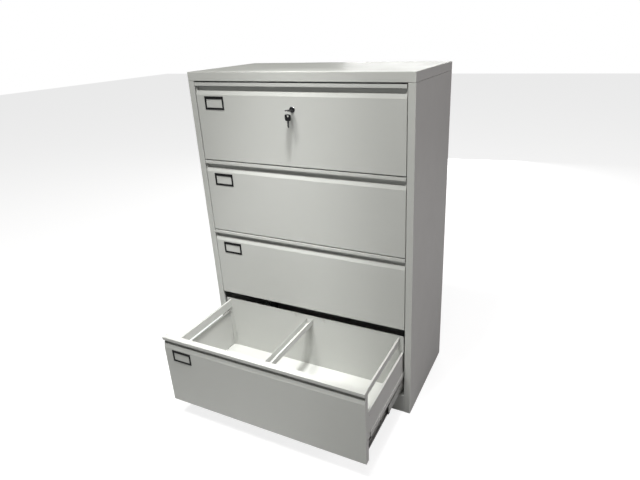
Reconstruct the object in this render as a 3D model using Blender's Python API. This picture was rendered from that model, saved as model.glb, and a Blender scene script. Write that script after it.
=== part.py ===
# Four-drawer lateral filing cabinet in folded sheet steel, with ball-bearing slides and a cam lock.
# Metres, +Z up. The drawers open towards -Y, and the bottom drawer stands open.
# The origin is on the floor, in the middle of the floor area that the cabinet and its open drawer cover.

import math

import bmesh
import bpy
from mathutils import Vector

# Carcass
WIDTH = 0.900
DEPTH = 0.450
HEIGHT = 1.320
SHEET = 0.001
STILE_W = 0.026
STILE_RETURN = 0.012
REAR_FLANGE = 0.020
TOP_RAIL_H = 0.033
KICK_H = 0.082
KICK_RETURN = 0.020
BASE_UPSTAND = 0.020

# Drawers
DRAWERS = 4
OPEN_DRAWER = 4
REVEAL = 0.005
SIDE_GAP = 0.003
BACK_SPACE = 0.057
TRAVEL = 0.382
FIT_GAP = 0.0003

# Drawer front: a hooked lip over a finger pocket, and a sloping band above the flat panel
FRONT_DEPTH = 0.024
LIP_H = 0.012
LIP_T = 0.005
LIP_UNDERSIDE = 0.010
BAND_TOP = 0.0295
BAND_SET = 0.006
BAND_BOTTOM = 0.0445
PANEL_SET = 0.002
POCKET_DEPTH = 0.017
POCKET_CEILING = 0.004
POCKET_FLOOR = 0.031
POCKET_END = 0.003

# Tray: low double sides whose outer skin hangs from the rim to a bead above the slide, and tall end walls
FLOOR_UP = 0.018
TRAY_INSET = 0.004
BEAD_OUT = 0.003
BEAD_H = 0.021
SKIRT_GAP = 0.0045
SIDE_DROP = 0.101
BACK_DROP = 0.030
FRONT_WALL_DROP = 0.002
SLOT_W = 0.003
SLOT_H = 0.018
SLOT_EDGE = 0.003
SLOT_SPREAD = 0.067

# Rails that carry hanging folders
RAIL_DROP = 0.0385
RAIL_W = 0.007
RAIL_INSIDE_H = 0.037
RAIL_OUTSIDE_H = 0.024
RAIL_INSET = 0.008
CENTRE_RAIL_DROP = 0.045
CENTRE_RAIL_X = 0.007
CENTRE_RAIL_W = 0.028
CENTRE_RAIL_H = 0.025

# Telescopic slides
SLIDE_UP = 0.055
SLIDE_T = 0.0127
SLIDE_H = 0.045
SLIDE_SHEET = 0.0012
SLIDE_SIDE_GAP = 0.0013
MID_H = 0.037
MID_WEB_SET = 0.0017
MID_TIP_SET = 0.0022
INNER_H = 0.030
INNER_W = 0.0065
RUNNER_TIP_SET = 0.0018
RUNNER_LEG = 0.010
RUNNER_GAP = 0.002
MID_GAP = 0.004
SLIDE_BACK_GAP = 0.003
MID_SHARE = 0.5

# Label holders
LABEL_W = 0.087
LABEL_H = 0.049
LABEL_T = 0.0016
LABEL_BORDER = 0.006
LABEL_TOP_BORDER = 0.009
LABEL_INSET = 0.0375
LABEL_DROP = 0.050

# Lock and keys
LOCK_DRAWER = 1
LOCK_DROP = 0.089
ROSETTE_R = 0.011
ROSETTE_T = 0.0017
BARREL_R = 0.0092
BARREL_END = 0.018
PLUG_R = 0.0060
PLUG_GAP = 0.0003
PLUG_FACE = 0.0008
CAM_LENGTH = 0.028
CAM_W = 0.012
CAM_T = 0.002
KEYWAY_DEEP = 0.0165
KEY_W = 0.0075
KEY_T = 0.0020
KEY_GAP = 0.0003
KEY_INSERT = 0.015
KEY_SHANK = 0.009
HEAD_W = 0.024
HEAD_L = 0.0235
HEAD_T = 0.0025
HEAD_WEB = 0.003
HEAD_HOLE_R = 0.0036
RING_R = 0.009
RING_WIRE_R = 0.0007
SPARE_BLADE = 0.023

ROUND = 24
SMALL_ROUND = 12
SHARP_ANGLE = math.radians(40)

PITCH = (HEIGHT - TOP_RAIL_H - KICK_H - REVEAL) / DRAWERS
FRONT_H = PITCH - REVEAL
OPENING = WIDTH / 2 - STILE_W
FRONT_HALF = OPENING - SIDE_GAP
TRAY_DEPTH = DEPTH - BACK_SPACE
CABINET_FRONT = (TRAVEL - DEPTH) / 2
TRAY_FRONT = FRONT_DEPTH + FIT_GAP
TRAY_UPPER = FRONT_HALF - TRAY_INSET
TRAY_LOWER = OPENING - SLIDE_SIDE_GAP - SLIDE_T
SKIRT_UP = SLIDE_UP + SLIDE_H / 2 + SKIRT_GAP
BEAD_TOP = SKIRT_UP + BEAD_H
BEAD_SIDE = TRAY_UPPER + BEAD_OUT
SIDE_UP = FRONT_H - SIDE_DROP
BACK_UP = FRONT_H - BACK_DROP
RAIL_TOP = FRONT_H - RAIL_DROP
LOCK_UP = FRONT_H - LOCK_DROP


def clear_scene():
    for thing in list(bpy.data.objects):
        bpy.data.objects.remove(thing, do_unlink=True)


def material(name, colour, roughness, metallic):
    made = bpy.data.materials.new(name)
    made.use_nodes = True
    shader = made.node_tree.nodes["Principled BSDF"]
    shader.inputs["Base Color"].default_value = (*colour, 1.0)
    shader.inputs["Roughness"].default_value = roughness
    shader.inputs["Metallic"].default_value = metallic
    return made


def paint():
    return material("grey_paint", (0.44, 0.445, 0.41), 0.45, 0.0)


def black_plastic():
    return material("black_plastic", (0.012, 0.012, 0.012), 0.4, 0.0)


def zinc():
    return material("zinc_steel", (0.35, 0.35, 0.36), 0.35, 1.0)


def nickel():
    return material("dark_nickel", (0.20, 0.20, 0.21), 0.3, 1.0)


def spot(axis, a, b, along):
    """The point at (a, b) across an axis and at a distance along it."""
    return {"X": (along, a, b), "Y": (a, along, b), "Z": (a, b, along)}[axis]


def prism(outline, axis, start, end):
    """A closed outline drawn out along an axis. Across X it is (y, z), across Y (x, z), across Z (x, y)."""
    shape = bmesh.new()
    face = shape.faces.new([shape.verts.new(spot(axis, a, b, start)) for a, b in outline])
    swept = bmesh.ops.extrude_face_region(shape, geom=[face])
    moved = [part for part in swept["geom"] if isinstance(part, bmesh.types.BMVert)]
    bmesh.ops.translate(shape, verts=moved, vec=spot(axis, 0, 0, end - start))
    bmesh.ops.recalc_face_normals(shape, faces=shape.faces)
    return shape


def block(low, high):
    outline = [(low[0], low[1]), (high[0], low[1]), (high[0], high[1]), (low[0], high[1])]
    return prism(outline, "Z", low[2], high[2])


def turned(outline, segments):
    """A closed outline of (radius, y) points turned about the Y axis."""
    shape = bmesh.new()
    points = [shape.verts.new((radius, y, 0)) for radius, y in outline]
    edges = [shape.edges.new((a, b)) for a, b in zip(points, points[1:] + points[:1])]
    bmesh.ops.spin(shape, geom=points + edges, axis=(0, 1, 0), cent=(0, 0, 0),
                   angle=math.tau, steps=segments)
    bmesh.ops.remove_doubles(shape, verts=shape.verts, dist=1e-6)
    bmesh.ops.recalc_face_normals(shape, faces=shape.faces)
    return shape


def circle(x, y, radius, segments):
    turns = [math.tau * (i + 0.5) / segments for i in range(segments)]
    return [(x + radius * math.cos(turn), y + radius * math.sin(turn)) for turn in turns]


def folded(points, thickness):
    """The outline of a sheet folded along these points, with its thickness on their left."""
    runs = [(Vector(b) - Vector(a)).normalized() for a, b in zip(points, points[1:])]
    sides = [Vector((-run.y, run.x)) for run in runs]
    inner = []
    for i, point in enumerate(points):
        before = sides[max(i - 1, 0)]
        after = sides[min(i, len(sides) - 1)]
        inner.append(Vector(point) + (before + after) * thickness / (1 + before.dot(after)))
    return list(points) + [tuple(point) for point in reversed(inner)]


def mirrored(outline):
    return [(-x, other) for x, other in reversed(outline)]


def finished(shape, steps=()):
    """The mesh of a shape, after each ("DIFFERENCE" or "UNION", other shape) step."""
    def holder(part):
        mesh = bpy.data.meshes.new("shape")
        part.to_mesh(mesh)
        part.free()
        made = bpy.data.objects.new("shape", mesh)
        bpy.context.scene.collection.objects.link(made)
        return made

    body = holder(shape)
    others = []
    for operation, other in steps:
        others.append(holder(other))
        boolean = body.modifiers.new(operation.title(), "BOOLEAN")
        boolean.operation = operation
        boolean.object = others[-1]
    graph = bpy.context.evaluated_depsgraph_get()
    mesh = bpy.data.meshes.new_from_object(body.evaluated_get(graph))
    for helper in [body] + others:
        bpy.data.objects.remove(helper, do_unlink=True)
    return mesh


def rounded(mesh):
    mesh.shade_smooth()
    mesh.set_sharp_from_angle(angle=SHARP_ANGLE)
    return mesh


def pivot(name, location, parent=None):
    empty = bpy.data.objects.new(name, None)
    empty.location = location
    empty.parent = parent
    bpy.context.scene.collection.objects.link(empty)
    return empty


def piece(name, mesh, coat, parent, location=(0, 0, 0)):
    made = bpy.data.objects.new(name, mesh)
    made.location = location
    made.parent = parent
    if coat.name not in mesh.materials:
        mesh.materials.append(coat)
    bpy.context.scene.collection.objects.link(made)
    return made


def side_panel():
    """Outer wall with the front stile and rear flange folded on, seen from above."""
    points = [
        (WIDTH / 2 - REAR_FLANGE, DEPTH),
        (WIDTH / 2, DEPTH),
        (WIDTH / 2, 0),
        (OPENING, 0),
        (OPENING, STILE_RETURN),
    ]
    right = mirrored(mirrored(folded(points[::-1], SHEET)))
    return right, HEIGHT - TOP_RAIL_H - FIT_GAP


def top_cap():
    base = HEIGHT - TOP_RAIL_H
    outside = block((-WIDTH / 2, 0, base), (WIDTH / 2, DEPTH, HEIGHT))
    inside = block(
        (-WIDTH / 2 + SHEET, SHEET, base - SHEET),
        (WIDTH / 2 - SHEET, DEPTH - SHEET, HEIGHT - SHEET),
    )
    return finished(outside, [("DIFFERENCE", inside)])


def back_panel():
    half = WIDTH / 2 - SHEET - FIT_GAP
    back = DEPTH - SHEET - FIT_GAP
    top = HEIGHT - TOP_RAIL_H - FIT_GAP
    return finished(block((-half, back - SHEET, FIT_GAP), (half, back, top)))


def base_pan():
    """Kick rail, floor plate and rear upstand in one fold, seen from the left."""
    back = DEPTH - 2 * SHEET - 2 * FIT_GAP
    points = [(KICK_RETURN, KICK_H), (0, KICK_H), (0, 0), (back, 0), (back, BASE_UPSTAND)]
    half = OPENING - FIT_GAP
    return finished(prism(folded(points, SHEET), "X", -half, half))


def drawer_front(with_lock):
    top = FRONT_H
    outline = [
        (0, top),
        (0, top - LIP_H),
        (LIP_UNDERSIDE, top - LIP_H),
        (BAND_SET, top - BAND_TOP),
        (PANEL_SET, top - BAND_BOTTOM),
        (PANEL_SET, 0),
        (FRONT_DEPTH, 0),
        (FRONT_DEPTH, top),
    ]
    pocket = [
        (LIP_T, top - POCKET_CEILING),
        (LIP_T, top - LIP_H - SHEET),
        (BAND_SET - SHEET, top - BAND_TOP),
        (BAND_SET + SHEET / 4, top - BAND_TOP),
        (POCKET_DEPTH, top - POCKET_FLOOR),
        (POCKET_DEPTH, top - POCKET_CEILING),
    ]
    past = FRONT_DEPTH + SHEET
    behind = POCKET_DEPTH + SHEET
    under = POCKET_FLOOR + 1.5 * SHEET
    slope = (BAND_SET - PANEL_SET) / (BAND_BOTTOM - BAND_TOP)
    band_inside = BAND_SET - (under - BAND_TOP) * slope + 1.2 * SHEET
    hollow = [
        (past, top - SHEET),
        (behind, top - SHEET),
        (behind, top - under),
        (band_inside, top - under),
        (PANEL_SET + SHEET, top - BAND_BOTTOM),
        (PANEL_SET + SHEET, SHEET),
        (past, SHEET),
    ]
    cuts = [
        ("DIFFERENCE", prism(pocket, "X", POCKET_END - FRONT_HALF, FRONT_HALF - POCKET_END)),
        ("DIFFERENCE", prism(hollow, "X", SHEET - FRONT_HALF, FRONT_HALF - SHEET)),
    ]
    if with_lock:
        hole = circle(0, LOCK_UP, BARREL_R + FIT_GAP, ROUND)
        cuts.append(("DIFFERENCE", prism(hole, "Y", 0, PANEL_SET + 2 * SHEET)))
    return finished(prism(outline, "X", -FRONT_HALF, FRONT_HALF), cuts)


def tray():
    top = FRONT_H - FRONT_WALL_DROP
    right = [
        (TRAY_UPPER, top),
        (TRAY_UPPER, BEAD_TOP),
        (BEAD_SIDE, BEAD_TOP),
        (BEAD_SIDE, SKIRT_UP),
        (TRAY_LOWER, SKIRT_UP),
        (TRAY_LOWER, FLOOR_UP - SHEET),
    ]
    body = prism(mirrored(right) + right, "Y", TRAY_FRONT, TRAY_DEPTH)
    front_face = TRAY_FRONT + SHEET
    back_face = TRAY_DEPTH - SHEET
    inner_half = TRAY_LOWER - SHEET
    inside = block((-inner_half, front_face, FLOOR_UP), (inner_half, back_face, top + SHEET))
    past = TRAY_DEPTH + SHEET
    above_sides = [
        (front_face, SIDE_UP),
        (back_face, SIDE_UP),
        (back_face, BACK_UP),
        (past, BACK_UP),
        (past, top + SHEET),
        (front_face, top + SHEET),
    ]
    between_skins = [
        (TRAY_LOWER, SIDE_UP - SHEET),
        (TRAY_LOWER, SKIRT_UP - SHEET),
        (BEAD_SIDE - SHEET, SKIRT_UP - SHEET),
        (BEAD_SIDE - SHEET, BEAD_TOP - SHEET),
        (TRAY_UPPER - SHEET, BEAD_TOP - SHEET),
        (TRAY_UPPER - SHEET, SIDE_UP - SHEET),
    ]
    steps = [
        ("DIFFERENCE", inside),
        ("DIFFERENCE", prism(above_sides, "X", -FRONT_HALF, FRONT_HALF)),
        ("DIFFERENCE", prism(between_skins, "Y", front_face, back_face)),
        ("DIFFERENCE", prism(mirrored(between_skins), "Y", front_face, back_face)),
    ]
    for side in (-1, 1):
        middle = side * SLOT_SPREAD + CENTRE_RAIL_X
        low = (middle - SLOT_W / 2, back_face - SHEET, BACK_UP - SLOT_EDGE - SLOT_H)
        high = (middle + SLOT_W / 2, past, BACK_UP - SLOT_EDGE)
        steps.append(("DIFFERENCE", block(low, high)))
    return finished(body, steps)


def rail_run():
    """Where the folder rails start and end, just clear of the tray's front and back walls."""
    return TRAY_FRONT + SHEET + FIT_GAP, TRAY_DEPTH - SHEET - FIT_GAP


def side_rail_outline():
    outer = TRAY_LOWER - SHEET - RAIL_INSET
    inner = outer - RAIL_W
    points = [
        (outer, RAIL_TOP - RAIL_OUTSIDE_H),
        (outer, RAIL_TOP),
        (inner, RAIL_TOP),
        (inner, RAIL_TOP - RAIL_INSIDE_H),
    ]
    return folded(points, SHEET)


def centre_rail():
    half = CENTRE_RAIL_W / 2
    high = FRONT_H - CENTRE_RAIL_DROP
    low = high - CENTRE_RAIL_H
    points = [
        (CENTRE_RAIL_X - half, high),
        (CENTRE_RAIL_X - half, low),
        (CENTRE_RAIL_X + half, low),
        (CENTRE_RAIL_X + half, high),
    ]
    return finished(prism(folded(points, SHEET), "Y", *rail_run()))


def runner_outline():
    """Fixed member with its mounting bracket, about the slide's centre line."""
    tip = TRAY_LOWER + RUNNER_TIP_SET
    web = TRAY_LOWER + SLIDE_T
    wall = WIDTH / 2 - SHEET - FIT_GAP
    up = SLIDE_H / 2
    inside = up - SLIDE_SHEET
    return [
        (tip, up),
        (tip, inside),
        (web - SLIDE_SHEET, inside),
        (web - SLIDE_SHEET, -inside),
        (tip, -inside),
        (tip, -up),
        (web, -up),
        (web, inside),
        (wall - SLIDE_SHEET, inside),
        (wall - SLIDE_SHEET, -RUNNER_LEG),
        (wall, -RUNNER_LEG),
        (wall, up),
    ]


def mid_outline():
    tip = TRAY_LOWER + MID_TIP_SET
    web = TRAY_LOWER + SLIDE_T - SLIDE_SHEET - MID_WEB_SET
    up = MID_H / 2
    return folded([(tip, -up), (web, -up), (web, up), (tip, up)], SLIDE_SHEET)


def inner_outline():
    near = TRAY_LOWER + FIT_GAP
    up = INNER_H / 2
    return folded([(near + INNER_W, up), (near, up), (near, -up), (near + INNER_W, -up)], SLIDE_SHEET)


def label_holder():
    left = -FRONT_HALF + LABEL_INSET
    top = FRONT_H - LABEL_DROP
    back = PANEL_SET - FIT_GAP
    frame = block((left, back - LABEL_T, top - LABEL_H), (left + LABEL_W, back, top))
    window = block(
        (left + LABEL_BORDER, back - 2 * LABEL_T, top - LABEL_H + LABEL_BORDER),
        (left + LABEL_W - LABEL_BORDER, back + LABEL_T, top - LABEL_TOP_BORDER),
    )
    return finished(frame, [("DIFFERENCE", window)])


def lock_barrel():
    """Rosette and sleeve in one turned piece, about the lock's axis."""
    bore = PLUG_R + PLUG_GAP
    seat = PANEL_SET - FIT_GAP
    outline = [
        (bore, seat - ROSETTE_T),
        (ROSETTE_R, seat - ROSETTE_T),
        (ROSETTE_R, seat),
        (BARREL_R, seat),
        (BARREL_R, BARREL_END),
        (bore, BARREL_END),
    ]
    return rounded(finished(turned(outline, ROUND)))


def lock_plug():
    """Turning plug with its keyway and the cam behind the barrel."""
    cam_front = BARREL_END + FIT_GAP
    plug = prism(circle(0, 0, PLUG_R, ROUND), "Y", PLUG_FACE, cam_front + CAM_T)
    cam = block((-CAM_LENGTH, cam_front, -CAM_W / 2), (PLUG_R, cam_front + CAM_T, CAM_W / 2))
    half_w = KEY_W / 2 + KEY_GAP
    half_t = KEY_T / 2 + KEY_GAP
    keyway = block((-half_w, -PLUG_FACE, -half_t), (half_w, KEYWAY_DEEP, half_t))
    return rounded(finished(plug, [("UNION", cam), ("DIFFERENCE", keyway)]))


def key_blade(length):
    """A flat blade along Y with its tip at y = 0 and its end at -length."""
    half = KEY_W / 2
    outline = [(-half, -length), (half, -length), (half, -half), (half / 3, 0), (-half / 3, 0), (-half, -half)]
    return finished(prism(outline, "Z", -KEY_T / 2, KEY_T / 2))


def key_head():
    """A flat moulded head along Y, narrow end at y = 0, with the ring's hole near its far end."""
    half = HEAD_W / 2
    outline = [
        (-half / 2, 0),
        (half / 2, 0),
        (half * 0.9, -HEAD_L * 0.25),
        (half, -HEAD_L * 0.75),
        (half * 0.8, -HEAD_L),
        (-half * 0.8, -HEAD_L),
        (-half, -HEAD_L * 0.75),
        (-half * 0.9, -HEAD_L * 0.25),
    ]
    hole = circle(0, -HEAD_L + HEAD_WEB + HEAD_HOLE_R, HEAD_HOLE_R, SMALL_ROUND)
    cutter = prism(hole, "Z", -HEAD_T, HEAD_T)
    return finished(prism(outline, "Z", -HEAD_T / 2, HEAD_T / 2), [("DIFFERENCE", cutter)])


def key_ring():
    """A ring in the YZ plane about its own centre."""
    shape = bmesh.new()
    wire = [shape.verts.new((x, y, 0)) for x, y in circle(0, RING_R, RING_WIRE_R, SMALL_ROUND // 2)]
    edges = [shape.edges.new((a, b)) for a, b in zip(wire, wire[1:] + wire[:1])]
    bmesh.ops.spin(shape, geom=wire + edges, axis=(1, 0, 0), cent=(0, 0, 0), angle=math.tau, steps=ROUND)
    bmesh.ops.remove_doubles(shape, verts=shape.verts, dist=1e-6)
    bmesh.ops.recalc_face_normals(shape, faces=shape.faces)
    return rounded(finished(shape))


def make_carcass(coat, metal):
    carcass = pivot("carcass_origin", (0, CABINET_FRONT, 0))
    outline, height = side_panel()
    piece("right_side_panel", finished(prism(outline, "Z", 0, height)), coat, carcass)
    piece("left_side_panel", finished(prism(mirrored(outline), "Z", 0, height)), coat, carcass)
    piece("top_cap", top_cap(), coat, carcass)
    piece("back_panel", back_panel(), coat, carcass)
    piece("base_pan", base_pan(), coat, carcass)
    start, end = FRONT_DEPTH + RUNNER_GAP, DEPTH - REAR_FLANGE
    right = finished(prism(runner_outline(), "Y", start, end))
    left = finished(prism(mirrored(runner_outline()), "Y", start, end))
    for number in range(1, DRAWERS + 1):
        place = (0, 0, base_height(number) + SLIDE_UP)
        piece(f"fixed_slide_right_{number}", right, metal, carcass, place)
        piece(f"fixed_slide_left_{number}", left, metal, carcass, place)


def base_height(number):
    """Height of the underside of a drawer's front; drawer 1 is the top one."""
    return HEIGHT - TOP_RAIL_H - REVEAL - (number - 1) * PITCH - FRONT_H


def make_drawers(coat, plastic, metal):
    """All drawers from the same meshes, each on a pivot that moves with it."""
    fronts = {True: drawer_front(True), False: drawer_front(False)}
    rail = side_rail_outline()
    mid_start = FRONT_DEPTH + MID_GAP
    mid_end = mid_start + TRAY_DEPTH - SLIDE_BACK_GAP
    inner_start = TRAY_FRONT + SHEET
    inner_end = TRAY_DEPTH - SLIDE_BACK_GAP
    meshes = {
        "tray": (tray(), coat),
        "centre_rail": (centre_rail(), coat),
        "right_rail": (finished(prism(rail, "Y", *rail_run())), coat),
        "left_rail": (finished(prism(mirrored(rail), "Y", *rail_run())), coat),
        "label_holder": (label_holder(), plastic),
    }
    inner_right = finished(prism(inner_outline(), "Y", inner_start, inner_end))
    inner_left = finished(prism(mirrored(inner_outline()), "Y", inner_start, inner_end))
    mid_right = finished(prism(mid_outline(), "Y", mid_start, mid_end))
    mid_left = finished(prism(mirrored(mid_outline()), "Y", mid_start, mid_end))
    pivots = {}
    for number in range(1, DRAWERS + 1):
        opened = TRAVEL if number == OPEN_DRAWER else 0
        base = base_height(number)
        drawer = pivot(f"drawer_{number}_origin", (0, CABINET_FRONT - opened, base))
        middle = pivot(f"mid_slide_{number}_origin", (0, CABINET_FRONT - opened * MID_SHARE, base))
        piece(f"drawer_front_{number}", fronts[number == LOCK_DRAWER], coat, drawer)
        for name, (mesh, finish) in meshes.items():
            piece(f"{name}_{number}", mesh, finish, drawer)
        centre_line = (0, 0, SLIDE_UP)
        piece(f"drawer_slide_right_{number}", inner_right, metal, drawer, centre_line)
        piece(f"drawer_slide_left_{number}", inner_left, metal, drawer, centre_line)
        piece(f"mid_slide_right_{number}", mid_right, metal, middle, centre_line)
        piece(f"mid_slide_left_{number}", mid_left, metal, middle, centre_line)
        pivots[number] = drawer
    return pivots


def make_lock(drawer, metal, plastic):
    """Barrel, turning plug with cam, the key in it, and the spare hanging from the ring."""
    axis = pivot("lock_axis", (0, 0, LOCK_UP), drawer)
    piece("lock_barrel", lock_barrel(), metal, axis)
    piece("lock_plug", lock_plug(), metal, axis)
    blade_length = KEY_INSERT + KEY_SHANK
    head_face = -KEY_SHANK - FIT_GAP
    head = key_head()
    piece("key_blade", key_blade(blade_length), metal, axis, (0, KEY_INSERT, 0))
    piece("key_head", head, plastic, axis, (0, head_face, 0))

    inner_r = (RING_R - RING_WIRE_R) * math.cos(math.pi / ROUND)
    web_middle = head_face - HEAD_L + HEAD_WEB / 2
    ring_centre = HEAD_T / 2 + FIT_GAP - math.sqrt(inner_r**2 - (HEAD_WEB / 2) ** 2)
    piece("key_ring", key_ring(), metal, axis, (0, web_middle, ring_centre))

    hang = pivot("spare_key_pivot", (0, web_middle, ring_centre - RING_R), axis)
    hang.rotation_euler.x = math.pi / 2
    hole_top = RING_R - math.sqrt(inner_r**2 - (HEAD_T / 2) ** 2) + FIT_GAP
    spare_top = hole_top + HEAD_WEB
    narrow_end = spare_top - HEAD_L
    spare = piece("spare_key_head", head, plastic, hang, (0, narrow_end, 0))
    spare.rotation_euler.z = math.pi
    blade = key_blade(SPARE_BLADE)
    tip = narrow_end - FIT_GAP - SPARE_BLADE
    turned_blade = piece("spare_key_blade", blade, metal, hang, (0, tip, 0))
    turned_blade.rotation_euler.z = math.pi


def main():
    clear_scene()
    coat = paint()
    plastic = black_plastic()
    slide_metal = zinc()
    lock_metal = nickel()
    make_carcass(coat, slide_metal)
    pivots = make_drawers(coat, plastic, slide_metal)
    make_lock(pivots[LOCK_DRAWER], lock_metal, plastic)


main()
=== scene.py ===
import math

import bmesh
import bpy
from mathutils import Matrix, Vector


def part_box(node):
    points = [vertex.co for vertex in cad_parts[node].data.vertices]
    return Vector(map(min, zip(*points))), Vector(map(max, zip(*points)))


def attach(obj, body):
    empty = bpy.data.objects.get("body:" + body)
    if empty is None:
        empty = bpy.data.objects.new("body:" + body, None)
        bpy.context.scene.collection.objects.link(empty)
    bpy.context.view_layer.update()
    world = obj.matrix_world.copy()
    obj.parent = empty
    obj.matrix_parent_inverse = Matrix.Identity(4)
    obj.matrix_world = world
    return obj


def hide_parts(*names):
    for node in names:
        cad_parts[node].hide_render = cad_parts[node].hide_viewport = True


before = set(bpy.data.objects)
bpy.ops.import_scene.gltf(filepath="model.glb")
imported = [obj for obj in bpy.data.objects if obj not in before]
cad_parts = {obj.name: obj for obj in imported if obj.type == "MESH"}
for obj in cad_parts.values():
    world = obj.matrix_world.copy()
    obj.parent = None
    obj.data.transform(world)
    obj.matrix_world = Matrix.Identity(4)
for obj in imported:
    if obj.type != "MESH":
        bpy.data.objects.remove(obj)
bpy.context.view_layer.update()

mm = 0.001
drawers = (1, 2, 3, 4)
sides = {"left": -1, "right": 1}


def restUp():
    if bpy.context.mode != "OBJECT":
        bpy.ops.object.mode_set(mode="OBJECT")
    bpy.ops.object.select_all(action="DESELECT")


def only(piece):
    restUp()
    piece.select_set(True)
    bpy.context.view_layer.objects.active = piece


def spot(axis, a, b, along):  # across X the pair is (y, z), across Y (x, z), across Z (x, y)
    return Vector({"X": (along, a, b), "Y": (a, along, b), "Z": (a, b, along)}[axis])


def drawLine(name, points, axis, along):  # one vertex, extruded from point to point; stays in edit mode
    restUp()
    spots = [spot(axis, a, b, along) for a, b in points]
    bpy.ops.mesh.primitive_plane_add(size=mm, location=spots[0])
    piece = bpy.context.object
    piece.name = name
    piece.data.name = name
    bpy.ops.object.mode_set(mode="EDIT")
    bpy.ops.mesh.merge(type="CENTER")
    for before, after in zip(spots, spots[1:]):
        bpy.ops.mesh.extrude_vertices_move(TRANSFORM_OT_translate={"value": after - before})
    bpy.ops.mesh.select_all(action="SELECT")
    return piece


def placed(piece):  # the place goes into the mesh, and the object sits at the origin
    only(piece)
    bpy.ops.object.transform_apply(location=True, rotation=True, scale=True)
    return piece


def drawSolid(name, points, axis, start, end):
    piece = drawLine(name, points, axis, start)
    bpy.ops.mesh.edge_face_add()
    bpy.ops.mesh.extrude_region_move(TRANSFORM_OT_translate={"value": spot(axis, 0, 0, end - start)})
    bpy.ops.mesh.select_all(action="SELECT")
    bpy.ops.mesh.normals_make_consistent(inside=False)
    return placed(piece)


def drawBlock(name, low, high):
    restUp()
    size = [b - a for a, b in zip(low, high)]
    middle = [(a + b) / 2 for a, b in zip(low, high)]
    bpy.ops.mesh.primitive_cube_add(size=1, location=middle, scale=size)
    piece = bpy.context.object
    piece.name = name
    piece.data.name = name
    return placed(piece)


def applied(piece, kind, **settings):
    only(piece)
    modifier = piece.modifiers.new(kind.title(), kind)
    for setting, value in settings.items():
        setattr(modifier, setting, value)
    bpy.ops.object.modifier_apply(modifier=modifier.name)
    return piece


def softEdges(piece, width, segments=2, angle=28):
    return applied(piece, "BEVEL", width=width, segments=segments, limit_method="ANGLE",
                   angle_limit=math.radians(angle), use_clamp_overlap=True, miter_outer="MITER_ARC")


def cutAway(piece, *cutters, solver="EXACT"):
    for cutter in cutters:
        applied(piece, "BOOLEAN", operation="DIFFERENCE", object=cutter, solver=solver)
        bpy.data.objects.remove(cutter, do_unlink=True)
    return piece


def facedOut(piece):
    only(piece)
    bpy.ops.object.mode_set(mode="EDIT")
    bpy.ops.mesh.select_all(action="SELECT")
    bpy.ops.mesh.normals_make_consistent(inside=False)
    restUp()
    return piece


def foldSheet(name, points, axis, start, end, gauge, bend, rim=0.25 * mm, steps=4):
    # The line is the outer skin. The sign of the gauge says which side of it the metal lies on.
    piece = drawLine(name, points, axis, start)
    bpy.ops.mesh.extrude_region_move(TRANSFORM_OT_translate={"value": spot(axis, 0, 0, end - start)})
    shape = bmesh.from_edit_mesh(piece.data)
    for part in [*shape.verts, *shape.edges, *shape.faces]:
        part.select = False
    for edge in shape.edges:
        edge.select = len(edge.link_faces) == 2
    bmesh.update_edit_mesh(piece.data)
    if len(points) > 2:
        bpy.ops.mesh.bevel(offset=bend, segments=steps, affect="EDGES")
    placed(piece)
    applied(piece, "SOLIDIFY", thickness=abs(gauge), offset=1 if gauge > 0 else -1, use_even_offset=True)
    return softEdges(facedOut(piece), rim, 1, 50)


def joined(name, *parts):
    restUp()
    for part in parts:
        part.select_set(True)
    bpy.context.view_layer.objects.active = parts[0]
    if len(parts) > 1:
        bpy.ops.object.join()
    parts[0].name = name
    parts[0].data.name = name
    return parts[0]


def turnRound(name, points, centre, axis, steps):  # a closed (radius, along) line spun about an axis
    across = {"X": "Y", "Y": "X", "Z": "X"}[axis]
    piece = drawLine(name, [(0, 0)], "Z", 0)
    bpy.ops.mesh.delete(type="VERT")
    shape = bmesh.from_edit_mesh(piece.data)
    way = {"X": Vector((1, 0, 0)), "Y": Vector((0, 1, 0)), "Z": Vector((0, 0, 1))}
    first = [shape.verts.new(Vector(centre) + way[across] * r + way[axis] * along) for r, along in points]
    for one, other in zip(first, first[1:] + first[:1]):
        shape.edges.new((one, other)).select = True
    bmesh.update_edit_mesh(piece.data)
    bpy.ops.mesh.select_all(action="SELECT")
    bpy.ops.mesh.spin(steps=steps, angle=math.tau, center=centre, axis=way[axis])
    bpy.ops.mesh.select_all(action="SELECT")
    bpy.ops.mesh.remove_doubles(threshold=0.002 * mm)
    bpy.ops.mesh.select_all(action="SELECT")
    bpy.ops.mesh.normals_make_consistent(inside=False)
    return placed(piece)


def settle(piece, body, finish, nodes=(), angle=35):
    placed(piece)
    bpy.ops.object.shade_smooth_by_angle(angle=math.radians(angle))
    applied(piece, "WEIGHTED_NORMAL", keep_sharp=True, weight=80)
    piece.data.materials.clear()
    piece.data.materials.append(finish)
    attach(piece, body)
    if nodes:
        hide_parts(*nodes)
    return piece


def newGroup(name, inputs, outputs):
    group = bpy.data.node_groups.new(name, "ShaderNodeTree")
    for socketName, kind, value in inputs:
        socket = group.interface.new_socket(socketName, in_out="INPUT", socket_type=kind)
        socket.default_value = value
    for socketName, kind in outputs:
        group.interface.new_socket(socketName, in_out="OUTPUT", socket_type=kind)
    return group, group.nodes.new("NodeGroupInput"), group.nodes.new("NodeGroupOutput")


def noise(tree, coords, scale, detail=2.0, roughness=0.5):
    node = tree.nodes.new("ShaderNodeTexNoise")
    node.inputs["Scale"].default_value = scale
    node.inputs["Detail"].default_value = detail
    node.inputs["Roughness"].default_value = roughness
    tree.links.new(coords, node.inputs["Vector"])
    return node


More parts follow.
